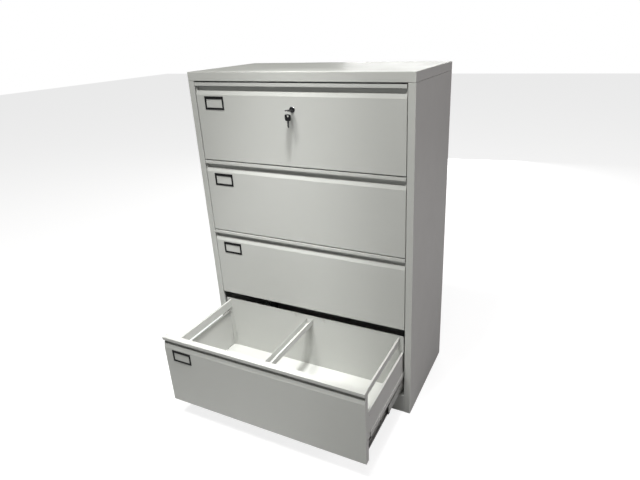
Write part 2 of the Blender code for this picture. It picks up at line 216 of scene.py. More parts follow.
def ramp(tree, value, low, high, lowOut=0.0, highOut=1.0):
    node = tree.nodes.new("ShaderNodeMapRange")
    node.inputs["From Min"].default_value = low
    node.inputs["From Max"].default_value = high
    node.inputs["To Min"].default_value = lowOut
    node.inputs["To Max"].default_value = highOut
    tree.links.new(value, node.inputs["Value"])
    return node.outputs["Result"]


def combined(tree, one, other, operation="MULTIPLY"):
    node = tree.nodes.new("ShaderNodeMath")
    node.operation = operation
    for socket, value in zip(node.inputs, (one, other)):
        if hasattr(value, "is_output"):
            tree.links.new(value, socket)
        else:
            socket.default_value = value
    return node.outputs[0]


def mixColour(tree, factor, one, other):
    node = tree.nodes.new("ShaderNodeMix")
    node.data_type = "RGBA"
    for socket, value in ((node.inputs[0], factor), (node.inputs[6], one), (node.inputs[7], other)):
        if hasattr(value, "is_output"):
            tree.links.new(value, socket)
        else:
            socket.default_value = value
    return node.outputs[2]


def surfaceGroup():
    # Fine grain for the bump, faint cloudy patches for the colour, and handling smudges for the gloss.
    group, given, out = newGroup("fineSurface", [
        ("Colour", "NodeSocketColor", (0.5, 0.5, 0.5, 1)),
        ("Patch Colour", "NodeSocketColor", (0.4, 0.4, 0.4, 1)),
        ("Patches", "NodeSocketFloat", 0.3),
        ("Grain Size", "NodeSocketFloat", 900.0),
        ("Gloss Base", "NodeSocketFloat", 0.4),
        ("Smudges", "NodeSocketFloat", 0.1),
    ], [("Colour", "NodeSocketColor"), ("Roughness", "NodeSocketFloat"), ("Height", "NodeSocketFloat")])
    coords = group.nodes.new("ShaderNodeTexCoord").outputs["Object"]
    grain = noise(group, coords, 900.0, 3.0, 0.6)
    group.links.new(given.outputs["Grain Size"], grain.inputs["Scale"])
    clouds = noise(group, coords, 3.5, 4.0, 0.6)
    specks = noise(group, coords, 160.0, 2.0, 0.7)
    wipes = noise(group, coords, 9.0, 5.0, 0.65)
    cloudMask = ramp(group, clouds.outputs["Fac"], 0.38, 0.68)
    speckMask = ramp(group, specks.outputs["Fac"], 0.35, 0.75, 0.6, 1.0)
    patchMask = combined(group, combined(group, cloudMask, speckMask), given.outputs["Patches"])
    colour = mixColour(group, patchMask, given.outputs["Colour"], given.outputs["Patch Colour"])
    group.links.new(colour, out.inputs["Colour"])
    wipeMask = ramp(group, wipes.outputs["Fac"], 0.3, 0.75, -0.5, 0.5)
    smudge = combined(group, wipeMask, given.outputs["Smudges"])
    gloss = combined(group, smudge, given.outputs["Gloss Base"], "ADD")
    group.links.new(gloss, out.inputs["Roughness"])
    group.links.new(grain.outputs["Fac"], out.inputs["Height"])
    return group


def streakGroup():
    # Drawn lines that run along Y, as rolled and plated strip has.
    group, given, out = newGroup("drawnStreaks", [
        ("Light", "NodeSocketColor", (0.6, 0.6, 0.6, 1)),
        ("Dark", "NodeSocketColor", (0.4, 0.4, 0.4, 1)),
        ("Gloss Base", "NodeSocketFloat", 0.3),
    ], [("Colour", "NodeSocketColor"), ("Roughness", "NodeSocketFloat"), ("Height", "NodeSocketFloat")])
    coords = group.nodes.new("ShaderNodeTexCoord").outputs["Object"]
    stretch = group.nodes.new("ShaderNodeMapping")
    stretch.inputs["Scale"].default_value = (1.0, 0.03, 1.0)
    group.links.new(coords, stretch.inputs["Vector"])
    lines = noise(group, stretch.outputs["Vector"], 1400.0, 3.0, 0.6)
    stains = noise(group, coords, 30.0, 4.0, 0.6)
    tone = combined(group, lines.outputs["Fac"], ramp(group, stains.outputs["Fac"], 0.3, 0.7, 0.5, 1.2))
    colour = mixColour(group, tone, given.outputs["Dark"], given.outputs["Light"])
    group.links.new(colour, out.inputs["Colour"])
    lift = ramp(group, stains.outputs["Fac"], 0.3, 0.7, -0.06, 0.1)
    group.links.new(combined(group, lift, given.outputs["Gloss Base"], "ADD"), out.inputs["Roughness"])
    group.links.new(lines.outputs["Fac"], out.inputs["Height"])
    return group


fineSurface = surfaceGroup()
drawnStreaks = streakGroup()


def finishFrom(name, group, values, metallic, bump, depth, specular=0.5):
    made = bpy.data.materials.new(name)
    made.use_nodes = True
    tree = made.node_tree
    shader = tree.nodes["Principled BSDF"]
    shader.inputs["Metallic"].default_value = metallic
    shader.inputs["Specular IOR Level"].default_value = specular
    effect = tree.nodes.new("ShaderNodeGroup")
    effect.node_tree = group
    for socketName, value in values.items():
        effect.inputs[socketName].default_value = value
    tree.links.new(effect.outputs["Colour"], shader.inputs["Base Color"])
    tree.links.new(effect.outputs["Roughness"], shader.inputs["Roughness"])
    relief = tree.nodes.new("ShaderNodeBump")
    relief.inputs["Strength"].default_value = bump
    relief.inputs["Distance"].default_value = depth
    tree.links.new(effect.outputs["Height"], relief.inputs["Height"])
    tree.links.new(relief.outputs["Normal"], shader.inputs["Normal"])
    return made


greyPaint = finishFrom("greyPowderCoat", fineSurface, {
    "Colour": (0.455, 0.462, 0.440, 1), "Patch Colour": (0.420, 0.428, 0.405, 1), "Patches": 0.35,
    "Grain Size": 1100.0, "Gloss Base": 0.42, "Smudges": 0.12,
}, metallic=0.0, bump=0.18, depth=0.12 * mm)
blackPlastic = finishFrom("blackPlastic", fineSurface, {
    "Colour": (0.005, 0.005, 0.006, 1), "Patch Colour": (0.012, 0.012, 0.012, 1), "Patches": 0.4,
    "Grain Size": 1600.0, "Gloss Base": 0.5, "Smudges": 0.12,
}, metallic=0.0, bump=0.2, depth=0.08 * mm, specular=0.3)
zincSteel = finishFrom("zincSteel", drawnStreaks, {
    "Light": (0.62, 0.62, 0.60, 1), "Dark": (0.36, 0.36, 0.35, 1), "Gloss Base": 0.3,
}, metallic=1.0, bump=0.15, depth=0.05 * mm)
darkNickel = finishFrom("darkNickel", fineSurface, {
    "Colour": (0.30, 0.30, 0.31, 1), "Patch Colour": (0.16, 0.16, 0.17, 1), "Patches": 0.6,
    "Grain Size": 2200.0, "Gloss Base": 0.24, "Smudges": 0.2,
}, metallic=1.0, bump=0.1, depth=0.04 * mm)
brassCage = finishFrom("cageSteel", drawnStreaks, {
    "Light": (0.72, 0.62, 0.40, 1), "Dark": (0.50, 0.42, 0.26, 1), "Gloss Base": 0.28,
}, metallic=1.0, bump=0.1, depth=0.04 * mm)
print("finishes made")


carcassShape = {
    "gauge": 1.0 * mm,
    "bend": 1.8 * mm,
    "stileReturn": 12 * mm,
    "rearFlange": 20 * mm,
    "kickReturn": 20 * mm,
    "rearUpstand": 20 * mm,
    "capReturn": 14 * mm,
}


def makeSidePanels():
    for side, way in sides.items():
        low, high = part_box(f"{side}_side_panel")
        inner = low.x if way > 0 else high.x
        outer = high.x if way > 0 else low.x
        line = [
            (inner, low.y + carcassShape["stileReturn"]),
            (inner, low.y),
            (outer, low.y),
            (outer, high.y),
            (outer - way * carcassShape["rearFlange"], high.y),
        ]
        panel = foldSheet(f"{side}SidePanel", line, "Z", low.z, high.z, -way * carcassShape["gauge"],
                          carcassShape["bend"])
        settle(panel, "carcass", greyPaint, [f"{side}_side_panel"])


def makeTopCap():
    low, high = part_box("top_cap")
    cap = drawBlock("topCap", low, high)
    bpy.ops.object.mode_set(mode="EDIT")
    shape = bmesh.from_edit_mesh(cap.data)
    for face in shape.faces:
        face.select_set(False)
    for face in shape.faces:
        if face.normal.z < -0.9:
            face.select_set(True)
    bmesh.update_edit_mesh(cap.data)
    bpy.ops.mesh.inset(thickness=carcassShape["capReturn"], use_even_offset=True)
    bpy.ops.mesh.delete(type="FACE")
    placed(cap)
    softEdges(cap, carcassShape["bend"], 4)
    applied(cap, "SOLIDIFY", thickness=carcassShape["gauge"], offset=-1, use_even_offset=True)
    settle(cap, "carcass", greyPaint, ["top_cap"])


def makeBack():
    low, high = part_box("back_panel")
    back = softEdges(drawBlock("backPanel", low, high), 0.3 * mm, 1)
    settle(back, "carcass", greyPaint, ["back_panel"])


def makeBasePan():
    low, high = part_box("base_pan")
    line = [
        (low.y + carcassShape["kickReturn"], high.z),
        (low.y, high.z),
        (low.y, low.z),
        (high.y, low.z),
        (high.y, low.z + carcassShape["rearUpstand"]),
    ]
    pan = foldSheet("basePan", line, "X", low.x, high.x, -carcassShape["gauge"], carcassShape["bend"])
    settle(pan, "carcass", greyPaint, ["base_pan"])


makeSidePanels()
makeTopCap()
makeBack()
makeBasePan()
print("carcass made")


frontShape = {
    "lipHeight": 12 * mm,
    "lipThickness": 5 * mm,
    "lipUnderside": 10 * mm,
    "bandTop": 29.5 * mm,
    "bandSet": 6 * mm,
    "bandBottom": 44.5 * mm,
    "panelSet": 2 * mm,
    "pocketDepth": 17 * mm,
    "pocketCeiling": 4 * mm,
    "pocketFloor": 31 * mm,
    "pocketEnd": 3 * mm,
    "gauge": 1.0 * mm,
    "edge": 1.3 * mm,
}


def makeFront(i):
    s = frontShape
    low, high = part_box(f"drawer_front_{i}")
    y, top, past = low.y, high.z, high.y + s["gauge"]
    front = drawSolid(f"drawerFront_{i}", [
        (y, top),
        (y, top - s["lipHeight"]),
        (y + s["lipUnderside"], top - s["lipHeight"]),
        (y + s["bandSet"], top - s["bandTop"]),
        (y + s["panelSet"], top - s["bandBottom"]),
        (y + s["panelSet"], low.z),
        (high.y, low.z),
        (high.y, top),
    ], "X", low.x, high.x)
    pocket = drawSolid("pocketCutter", [
        (y + s["lipThickness"], top - s["pocketCeiling"]),
        (y + s["lipThickness"], top - s["lipHeight"] - s["gauge"]),
        (y + s["bandSet"] - s["gauge"], top - s["bandTop"]),
        (y + s["bandSet"] + s["gauge"] / 4, top - s["bandTop"]),
        (y + s["pocketDepth"], top - s["pocketFloor"]),
        (y + s["pocketDepth"], top - s["pocketCeiling"]),
    ], "X", low.x + s["pocketEnd"], high.x - s["pocketEnd"])
    hollow = drawBlock("hollowCutter",
                       (low.x + s["gauge"], y + s["panelSet"] + s["gauge"], low.z + s["gauge"]),
                       (high.x - s["gauge"], past, top - s["bandBottom"]))
    cutAway(front, pocket, hollow)
    softEdges(front, s["edge"], 3, 12)
    settle(front, f"drawer_{i}", greyPaint, [f"drawer_front_{i}"])


for i in drawers:
    makeFront(i)
print("fronts made")


def drawDome(name, centre, axis, way, radius, height, steps=20):
    profile = [(0, -0.3), (1, -0.3), (1, 0.2), (0.92, 0.55), (0.66, 0.88), (0.3, 0.99), (0, 1)]
    return turnRound(name, [(radius * r, way * height * a) for r, a in profile], centre, axis, steps)


def drawDisc(name, centre, axis, radius, start, end, steps=24):
    points = [(0, start), (radius, start), (radius, end), (0, end)]
    return turnRound(name, points, centre, axis, steps)


def rowOf(piece, count, step):  # copies at equal steps along Y
    return applied(piece, "ARRAY", count=count, use_relative_offset=False, use_constant_offset=True,
                   constant_offset_displace=(0, step, 0))


def softLine(points, rounds=3):  # a closed line with its corners cut smooth
    for _ in range(rounds):
        cut = []
        for (a, b), (c, d) in zip(points, points[1:] + points[:1]):
            cut += [(a * 0.75 + c * 0.25, b * 0.75 + d * 0.25), (a * 0.25 + c * 0.75, b * 0.25 + d * 0.75)]
        points = cut
    return points


trayShape = {
    "gauge": 1.0 * mm,
    "bend": 0.9 * mm,
    "wallIn": 11 * mm,
    "beadOut": 3 * mm,
    "floor": 1 * mm,
    "skirt": 65 * mm,
    "ledge": 86 * mm,
    "rim": 177 * mm,
    "backTop": 248 * mm,
    "ledgeStart": 21 * mm,
    "flangeWidth": 16 * mm,
    "slotSpread": 67 * mm,
    "slotShift": 7 * mm,
    "slotWidth": 3 * mm,
    "slotTall": 18 * mm,
    "slotEdge": 3 * mm,
    "tabStarts": (303 * mm, 332 * mm),
    "tabLength": 19 * mm,
    "tabFoot": 0.9 * mm,
    "tabHead": 4.2 * mm,
    "wallHoleAt": (346 * mm, 144 * mm),
    "wallHoleRadius": 2.2 * mm,
    "skinHoleAt": (9 * mm, 92 * mm),
    "skinHoleRadius": 2.6 * mm,
    "rivetUp": 158 * mm,
    "rivetFront": 21 * mm,
    "rivetBack": 24 * mm,
    "rivetRadius": 2.8 * mm,
}


def makeTray(i):
    s = trayShape
    low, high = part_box(f"tray_{i}")
    z = low.z
    floor, skirt, ledge, rim = (z + s[level] for level in ("floor", "skirt", "ledge", "rim"))
    wall, skin, bead = high.x - s["wallIn"], high.x - s["beadOut"], high.x
    half = [(wall, floor), (wall, rim), (skin, rim), (skin, ledge), (bead, ledge), (bead, skirt)]
    line = [(-x, up) for x, up in reversed(half)] + half
    front, back = low.y + s["gauge"], high.y - s["gauge"]
    ledgeFrom = front + s["ledgeStart"]
    pan = foldSheet(f"tray_{i}_pan", line, "Y", front, back, -s["gauge"], s["bend"])
    cutters = []
    plates = []
    for way in sides.values():
        def across(name, near, far, y0, y1, z0, z1):
            x0, x1 = sorted((way * near, way * far))
            return drawBlock(name, (x0, y0, z0), (x1, y1, z1))

        cutters.append(across("ledgeCutter", skin - 1.5 * mm, bead + 1 * mm, front - 1 * mm, ledgeFrom,
                              skirt - 1 * mm, ledge + 1 * mm))
        plates.append(across("frontPlate", skin - s["gauge"], skin, front - 0.1 * mm, ledgeFrom + 0.3 * mm,
                             skirt, ledge + 1.2 * mm))
        for tab in s["tabStarts"]:
            start = low.y + tab
            cutters.append(across("tabCutter", wall - 1 * mm, wall + 3 * mm, start, start + s["tabLength"],
                                  floor + s["tabFoot"], floor + s["tabHead"]))
        cutters.append(across("reliefCutter", wall - 2.4 * mm, wall + 0.6 * mm, back - 3.5 * mm,
                              back + 1 * mm, floor - 2 * mm, floor + 2.2 * mm))
        for name, face, radius, reach in (("wallHole", wall, s["wallHoleRadius"], 4 * mm),
                                          ("skinHole", skin, s["skinHoleRadius"], 3 * mm)):
            along, up = s[name + "At"]
            cutters.append(drawDisc(name, (way * face, low.y + along, z + up), "X", radius, -reach, reach))
        for name, y0, y1 in (("backFlange", back - 0.9 * mm, back), ("frontFlange", front, front + 0.9 * mm)):
            plates.append(across(name, wall - s["flangeWidth"], wall - 0.2 * mm, y0, y1,
                                 floor + 2.5 * mm, rim - 3 * mm))
    cutAway(pan, *cutters, solver="MANIFOLD")
    for plate in plates:
        softEdges(plate, 0.3 * mm, 1)
    outer = wall + s["gauge"]
    outline = [(outer, low.z), (outer, skirt), (bead, skirt), (bead, ledge), (skin, ledge)]
    ends = []
    for name, top, y0, y1 in (("front", high.z, low.y, front), ("back", z + s["backTop"], back, high.y)):
        right = outline + [(skin, top)]
        end = drawSolid(name, [(-x, up) for x, up in right] + right[::-1], "Y", y0, y1)
        if name == "back":
            slots = []
            for way in (-1, 1):
                x, up = way * s["slotSpread"] + s["slotShift"], top - s["slotEdge"]
                halfSlot = s["slotWidth"] / 2
                slots.append(drawBlock("slotCutter", (x - halfSlot, y0 - 1 * mm, up - s["slotTall"]),
                                       (x + halfSlot, y1 + 1 * mm, up)))
            cutAway(end, *slots)
        ends.append(softEdges(end, 0.3 * mm, 2))
    tray = joined(f"trayBody_{i}", pan, *ends, *plates)
    settle(tray, f"drawer_{i}", greyPaint, [f"tray_{i}"])
    rivets = [drawDome("rivet", (way * skin, y, z + s["rivetUp"]), "X", way, s["rivetRadius"], 1 * mm)
              for way in (-1, 1) for y in (low.y + s["rivetFront"], back - s["rivetBack"])]
    settle(joined(f"trayRivets_{i}", *rivets), f"drawer_{i}", zincSteel)


for i in drawers:
    makeTray(i)
print("trays made")

railShape = {
    "gauge": 1.0 * mm,
    "bend": 1.1 * mm,
    "outerLeg": 24 * mm,
}


def makeRails(i):
    s = railShape
    for side, way in sides.items():
        low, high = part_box(f"{side}_rail_{i}")
        outer, inner = (high.x, low.x) if way > 0 else (low.x, high.x)
        line = [(outer, high.z - s["outerLeg"]), (outer, high.z), (inner, high.z), (inner, low.z)]
        rail = foldSheet(f"{side}Rail_{i}", line, "Y", low.y, high.y, way * s["gauge"], s["bend"])
        settle(rail, f"drawer_{i}", greyPaint, [f"{side}_rail_{i}"])
    low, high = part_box(f"centre_rail_{i}")
    line = [(low.x, high.z), (low.x, low.z), (high.x, low.z), (high.x, high.z)]
    rail = foldSheet(f"centreRail_{i}", line, "Y", low.y, high.y, s["gauge"], s["bend"])
    settle(rail, f"drawer_{i}", greyPaint, [f"centre_rail_{i}"])


for i in drawers:
    makeRails(i)
print("rails made")

slideShape = {
    "gauge": 1.2 * mm,
    "fixedBend": 2.6 * mm,
    "midBend": 2.2 * mm,
    "innerBend": 1.8 * mm,
    "thickness": 12.7 * mm,
    "bracketLeg": 10 * mm,
    "cageLength": 180 * mm,
    "cageFrom": 60 * mm,
    "cageSet": 200 * mm,
    "cageHalfWidth": 1.9 * mm,
    "cageHalfThick": 0.3 * mm,
    "ballStep": 15 * mm,
    "ballEnd": 6 * mm,
    "innerBall": 1.0 * mm,
    "outerBall": 1.2 * mm,
    "innerHoles": (32 * mm, 75 * mm, 200 * mm, 300 * mm),
    "midHoles": (45 * mm, 160 * mm, 300 * mm),
    "fixedHoles": (30 * mm, 200 * mm, 370 * mm),
    "innerHoleRadius": 2.6 * mm,
    "holeRadius": 3.2 * mm,
    "screwPlaces": (50 * mm, 130 * mm, 330 * mm),
    "screwRadius": 3.6 * mm,
    "screwHeight": 1.6 * mm,
    "stopLength": 12 * mm,
    "stopFrom": 18.6 * mm,
    "stopTo": 20.9 * mm,
    "bracketSet": 6 * mm,
}


def makeCage(name, body, x, up, reach, ball, start):  # balls above and below, held in thin strips
    s = slideShape
    wide, thin, length = s["cageHalfWidth"], s["cageHalfThick"], s["cageLength"]
    parts = []
    for sign in (-1, 1):
        z = sign * reach + up
        strip = drawBlock("cage", (x - wide, start, z - thin), (x + wide, start + length, z + thin))
        parts.append(softEdges(strip, 0.2 * mm, 1))
        restUp()
        bpy.ops.mesh.primitive_uv_sphere_add(segments=12, ring_count=8, radius=ball,
                                             location=(x, start + s["ballEnd"], z))
        count = int((length - 8 * mm) / s["ballStep"])
        parts.append(rowOf(placed(bpy.context.object), count, s["ballStep"]))
    settle(joined(name, *parts), body, brassCage)


def slideMiddle(i, side):  # the height that all three members of a slide share
    low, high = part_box(f"drawer_slide_{side}_{i}")
    return (low.z + high.z) / 2


def holesAlong(piece, web, y, up, places, radius):
    cutAway(piece, *[drawDisc("hole", (web, y + at, up), "X", radius, -3 * mm, 3 * mm) for at in places])


def makeInnerSlide(i, side, way):
    s = slideShape
    low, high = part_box(f"drawer_slide_{side}_{i}")
    web, tip = (low.x, high.x) if way > 0 else (high.x, low.x)
    middle = slideMiddle(i, side)
    line = [(tip, high.z), (web, high.z), (web, low.z), (tip, low.z)]
    inner = foldSheet(f"drawerSlide_{side}_{i}", line, "Y", low.y, high.y, way * s["gauge"], s["innerBend"])
    holesAlong(inner, web, low.y, middle, s["innerHoles"], s["innerHoleRadius"])
    settle(inner, f"drawer_{i}", zincSteel, [f"drawer_slide_{side}_{i}"])
    heads = [drawDome("screw", (web + way * s["gauge"], low.y + at, middle), "X", way, s["screwRadius"],
                      s["screwHeight"]) for at in s["screwPlaces"]]
    settle(joined(f"slideScrews_{side}_{i}", *heads), f"drawer_{i}", darkNickel)
    makeCage(f"innerCage_{side}_{i}", f"drawer_{i}", way * (abs(web) + 3.6 * mm), middle,
             high.z - middle + 1.15 * mm, s["innerBall"], low.y + s["cageFrom"])


def makeMiddleSlide(i, side, way):
    s = slideShape
    low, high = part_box(f"mid_slide_{side}_{i}")
    tip, web = (low.x, high.x) if way > 0 else (high.x, low.x)
    middle = slideMiddle(i, side)
    line = [(tip, low.z), (web, low.z), (web, high.z), (tip, high.z)]
    mid = foldSheet(f"middleSlide_{side}_{i}", line, "Y", low.y, high.y, way * s["gauge"], s["midBend"])
    holesAlong(mid, web, low.y, middle, s["midHoles"], s["holeRadius"])
    settle(mid, f"slide_middle_{i}", zincSteel, [f"mid_slide_{side}_{i}"])
    makeCage(f"outerCage_{side}_{i}", f"slide_middle_{i}", way * (abs(web) + abs(tip)) / 2, middle,
             high.z - middle + 1.35 * mm, s["outerBall"], low.y + s["cageSet"])
    stops = []
    for sign in (-1, 1):
        near, far = sorted((middle + sign * s["stopFrom"], middle + sign * s["stopTo"]))
        x0, x1 = sorted((tip - way * 0.2 * mm, web + way * 0.3 * mm))
        stop = drawBlock("stop", (x0, low.y - 0.5 * mm, near), (x1, low.y + s["stopLength"], far))
        stops.append(softEdges(stop, 0.8 * mm, 3))
    settle(joined(f"slideStop_{side}_{i}", *stops), f"slide_middle_{i}", blackPlastic)


def makeFixedSlide(i, side, way):
    s = slideShape
    low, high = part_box(f"fixed_slide_{side}_{i}")
    tip, wall = (low.x, high.x) if way > 0 else (high.x, low.x)
    web = tip + way * (s["thickness"] - 1.8 * mm)
    middle = slideMiddle(i, side)
    line = [(tip, low.z), (web, low.z), (web, high.z), (tip, high.z)]
    runner = foldSheet("runner", line, "Y", low.y, high.y, way * s["gauge"], s["fixedBend"])
    holesAlong(runner, web, low.y, middle, s["fixedHoles"], s["holeRadius"])
    near, leg, shelf = web + way * 0.1 * mm, middle - s["bracketLeg"], high.z - 1.5 * mm
    line = [(near, leg), (near, shelf), (wall, shelf), (wall, leg)]
    bracket = foldSheet("bracket", line, "Y", low.y + s["bracketSet"], high.y, -way * s["gauge"],
                        s["midBend"])
    settle(joined(f"fixedSlide_{side}_{i}", runner, bracket), "carcass", zincSteel,
           [f"fixed_slide_{side}_{i}"])


for i in drawers:
    for side, way in sides.items():
        makeInnerSlide(i, side, way)
        makeMiddleSlide(i, side, way)
        makeFixedSlide(i, side, way)
print("slides made")

labelShape = {
    "border": 7.2 * mm,
    "topBorder": 10 * mm,
    "sideStep": 0.35 * mm,
}


def makeLabelHolder(i):
    s = labelShape
    low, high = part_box(f"label_holder_{i}")
    holder = drawBlock("labelFrame", low, high)
    window = drawBlock("windowCutter",
                       (low.x + s["border"], low.y - 1 * mm, low.z + s["border"]),
                       (high.x - s["border"], high.y + 1 * mm, high.z - s["topBorder"]))
    step = drawBlock("stepCutter", (low.x - 1 * mm, low.y - 1 * mm, low.z - 1 * mm),
                     (high.x + 1 * mm, low.y + s["sideStep"], high.z - s["topBorder"] + 2 * mm))
    cutAway(holder, step, window)
    softEdges(holder, 0.3 * mm, 2)
    settle(holder, f"drawer_{i}", blackPlastic, [f"label_holder_{i}"])


for i in drawers:
    makeLabelHolder(i)
print("label holders made")

fixingShape = {
    "rivetEnd": 25 * mm,
    "rivetDeep": 17 * mm,
    "rivetDown": 16 * mm,
    "rivetRadius": 2.6 * mm,
    "screwRadius": 3.6 * mm,
    "screwHeight": 0.28 * mm,
    "screwEdge": 12 * mm,
    "sideScrews": (60 * mm, 350 * mm, 640 * mm, 930 * mm, 1220 * mm),
    "endScrewX": 200 * mm,
    "endScrewZ": (30 * mm, 1265 * mm),
}


def makeFixings():
    s = fixingShape
    for i in drawers:
        low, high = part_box(f"drawer_front_{i}")
        y, z = low.y + s["rivetDeep"], high.z - s["rivetDown"]
        rivets = [drawDome("rivet", (way * (high.x - s["rivetEnd"]), y, z), "Y", -1, s["rivetRadius"], 1 * mm)
                  for way in (-1, 1)]
        settle(joined(f"pocketRivets_{i}", *rivets), f"drawer_{i}", zincSteel)
    low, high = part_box("back_panel")
    places = [(x, z) for x in (low.x + s["screwEdge"], high.x - s["screwEdge"]) for z in s["sideScrews"]]
    places += [(x, z) for x in (-s["endScrewX"], s["endScrewX"]) for z in s["endScrewZ"]]
    heads = [drawDome("screw", (x, high.y - 0.1 * mm, z), "Y", 1, s["screwRadius"], s["screwHeight"])
             for x, z in places]
    settle(joined("backScrews", *heads), "carcass", zincSteel)


makeFixings()
print("fixings made")

lockShape = {
    "rosetteRadius": 11 * mm,
    "rosetteThick": 1.7 * mm,
    "lobes": 8,
    "lobeRadius": 1.302 * mm,
    "lobeRing": 8.0 * mm,
    "lobeDeep": 0.7 * mm,
    "bodyRadius": 9.2 * mm,
    "plugRadius": 6.0 * mm,
    "boreRadius": 6.3 * mm,
    "keywayHalf": (4.05 * mm, 1.3 * mm),
    "keywayDeep": 15.7 * mm,
    "camThick": 2 * mm,
    "camHalf": 6 * mm,
    "camTail": 5 * mm,
}


def makeLock():
    s = lockShape
    low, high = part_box("lock_barrel")
    x, z = (low.x + high.x) / 2, (low.z + high.z) / 2
    y, back = low.y, high.y
    seat = y + s["rosetteThick"]
    bore, wide = s["boreRadius"], s["rosetteRadius"]
    barrel = turnRound("lockBarrel", [
        (bore, y + 0.3 * mm), (bore + 0.3 * mm, y), (wide - 1.4 * mm, y), (wide - 0.5 * mm, y + 0.3 * mm),
        (wide, y + 0.9 * mm), (wide, seat), (s["bodyRadius"], seat), (s["bodyRadius"], back), (bore, back),
    ], (x, 0, z), "Y", 96)
    lobes = []
    for n in range(s["lobes"]):
        turn = math.tau * (n + 0.5) / s["lobes"]
        centre = (x + s["lobeRing"] * math.cos(turn), y, z + s["lobeRing"] * math.sin(turn))
        lobes.append(drawDisc("lobe", centre, "Y", s["lobeRadius"], -1 * mm, s["lobeDeep"], 20))
    cutAway(barrel, *lobes)
    softEdges(barrel, 0.12 * mm, 1, 50)
    settle(barrel, "drawer_1", darkNickel, ["lock_barrel"])

    plugLow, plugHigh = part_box("lock_plug")
    face, rear, radius = plugLow.y, plugHigh.y, s["plugRadius"]
    profile = [(0, face), (radius - 0.4 * mm, face), (radius, face + 0.4 * mm), (radius, rear), (0, rear)]
    plug = turnRound("plug", profile, (x, 0, z), "Y", 64)
    wide, tall = s["keywayHalf"]
    keyway = drawBlock("keyway", (x - wide, face - 1 * mm, z - tall),
                       (x + wide, face + s["keywayDeep"], z + tall))
    cutAway(plug, keyway)
    cam = drawBlock("cam", (plugLow.x, rear - s["camThick"], z - s["camHalf"]),
                    (x + s["camTail"], rear, z + s["camHalf"]))
    softEdges(cam, 0.5 * mm, 2)
    softEdges(plug, 0.15 * mm, 1, 50)
    settle(joined("lockPlug", plug, cam), "lock_plug", darkNickel, ["lock_plug"])


keyShape = {
    "holeSet": 6.6 * mm,
    "holeRadius": 3.6 * mm,
    "thumbFrom": 2.5 * mm,
    "thumbReach": 5 * mm,
    "thumbLength": 9 * mm,
    "hollowDeep": 0.35 * mm,
    "cutPlaces": (0.80, 0.66, 0.52, 0.38),  # shares of the blade's length
    "cutDepths": (0.30, 0.55, 0.25, 0.45),  # shares of half its width
}


def makeHead(name, node, body, along):  # along is the axis from the blade's end to the ring's hole
    s = keyShape
    low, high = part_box(node)
    x = (low.x + high.x) / 2
    half = (high.x - low.x) / 2
    if along == "Y":
        near, far, face, thick = high.y, low.y, (low.z + high.z) / 2, high.z - low.z
    else:
        near, far, face, thick = low.z, high.z, (low.y + high.y) / 2, high.y - low.y
    run = far - near
    points = [(-0.62, 0), (0.62, 0), (1, 0.2), (1, 0.8), (0.86, 1), (-0.86, 1), (-1, 0.8), (-1, 0.2)]
    outline = [(x + half * a, near + run * b) for a, b in points]
    across = "Z" if along == "Y" else "Y"
    line = softLine(outline, 3)
    head = drawSolid("head", line, across, face - thick / 2, face + thick / 2)
    sign = 1 if run > 0 else -1
    hole = far - sign * s["holeSet"]

    def at(b, deep):
        return (x, b, deep) if along == "Y" else (x, deep, b)

    cutters = [drawDisc("hole", at(hole, face), across, s["holeRadius"], -4 * mm, 4 * mm, 32)]
    for way in (-1, 1):  # a shallow hollow on each side for the thumb
        skin = face + way * thick / 2
        reach = s["thumbReach"]
        start = near + sign * s["thumbFrom"]
        end = start + sign * s["thumbLength"]
        hollow = [(x - reach, start), (x + reach, start), (x + reach * 1.3, end), (x - reach * 1.3, end)]
        cutters.append(drawSolid("hollow", softLine(hollow, 2), across, skin - way * s["hollowDeep"],
                                 skin + way * 1 * mm))
    cutAway(head, *cutters)
    softEdges(head, 0.35 * mm, 2, 40)
    settle(head, body, blackPlastic, [node])


def makeBlade(name, node, body, along, bitted):
    s = keyShape
    low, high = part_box(node)
    x = (low.x + high.x) / 2
    half = (high.x - low.x) / 2
    if along == "Y":
        end, tip, face, thick = low.y, high.y, (low.z + high.z) / 2, high.z - low.z
    else:
        end, tip, face, thick = high.z, low.z, (low.y + high.y) / 2, high.y - low.y
    run = tip - end
    line = [(-half, 0), (-half, 0.80), (-half / 3, 1), (half / 3, 1), (half, 0.84)]
    for at, deep in zip(s["cutPlaces"] if bitted else (), s["cutDepths"]):
        bottom = half - half * deep
        line += [(half, at), (bottom, at - 0.03), (bottom, at - 0.06), (half, at - 0.09)]
    line += [(half, 0)]
    across = "Z" if along == "Y" else "Y"
    outline = [(x + a, end + run * b) for a, b in line]
    blade = drawSolid("blade", outline, across, face - thick / 2, face + thick / 2)
    grooves = []
    for way in (-1, 1):
        skin = face + way * thick / 2
        left, right, start = x - 1.4 * mm, x - 0.3 * mm, end - run * 0.02
        groove = [(left, start), (right, start), (right, end + run * 0.93), (left, end + run * 0.9)]
        grooves.append(drawSolid("groove", groove, across, skin - way * s["hollowDeep"], skin + way * 1 * mm))
    cutAway(blade, *grooves)
    softEdges(blade, 0.15 * mm, 1, 30)
    settle(blade, body, darkNickel, [node])


def makeRing():
    low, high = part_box("key_ring")
    x, y, z = [(a + b) / 2 for a, b in zip(low, high)]
    wire = (high.x - low.x) / 2
    radius = (high.z - low.z) / 2 - wire
    thin = wire * 0.55  # each of the two coils is a little thinner than the solid it stands in
    turns = [math.tau * n / 12 for n in range(12)]
    coils = []
    for shift in (-0.5, 0.5):
        along = shift * wire * 0.9
        coil = [(radius + thin * math.cos(turn), along + thin * math.sin(turn)) for turn in turns]
        coils.append(turnRound("coil", coil, (x, y, z), "X", 72))
    settle(joined("keyRing", *coils), "key", zincSteel, ["key_ring"])


